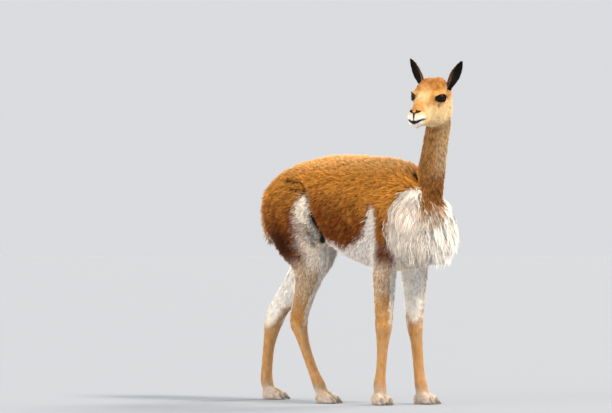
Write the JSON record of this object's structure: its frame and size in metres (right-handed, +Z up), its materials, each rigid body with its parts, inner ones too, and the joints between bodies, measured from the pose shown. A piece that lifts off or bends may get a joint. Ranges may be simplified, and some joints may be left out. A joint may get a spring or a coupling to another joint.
{
  "type": "vicuna",
  "caption": "Life-size vicuna standing still on four feet with its head turned to its right, a fawn fleece, a long cream chest bib and slim legs.",
  "frame": {"origin": "middle of the box that holds the model, at floor level", "axes": "+X is the way the body faces, +Y its left side, +Z up"},
  "size_m": [0.948, 0.3646, 1.1946],
  "materials": {
    "fawn_coat": "matte dense short fleece",
    "leg_coat": "short smooth hair",
    "foot_coat": "short dusty hair over a leathery pad",
    "ear_coat": "short velvety hair",
    "eye": "wet and glossy",
    "nail": "dull horn"
  },
  "bodies": {
    "root": {"torso": "fawn_coat", "neck": "fawn_coat", "head": "fawn_coat", "tail": "fawn_coat", "ear_left": "ear_coat", "ear_right": "ear_coat", "eye_left": "eye", "eye_right": "eye", "front_right_forearm": "fawn_coat", "front_right_lower": "leg_coat", "front_right_foot": "foot_coat", "front_right_nail_left": "nail", "front_right_nail_right": "nail", "front_left_forearm": "fawn_coat", "front_left_lower": "leg_coat", "front_left_foot": "foot_coat", "front_left_nail_left": "nail", "front_left_nail_right": "nail", "hind_right_thigh": "fawn_coat", "hind_right_shin": "fawn_coat", "hind_right_lower": "leg_coat", "hind_right_foot": "foot_coat", "hind_right_nail_left": "nail", "hind_right_nail_right": "nail", "hind_left_thigh": "fawn_coat", "hind_left_shin": "fawn_coat", "hind_left_lower": "leg_coat", "hind_left_foot": "foot_coat", "hind_left_nail_left": "nail", "hind_left_nail_right": "nail"}
  },
  "joints": []
}
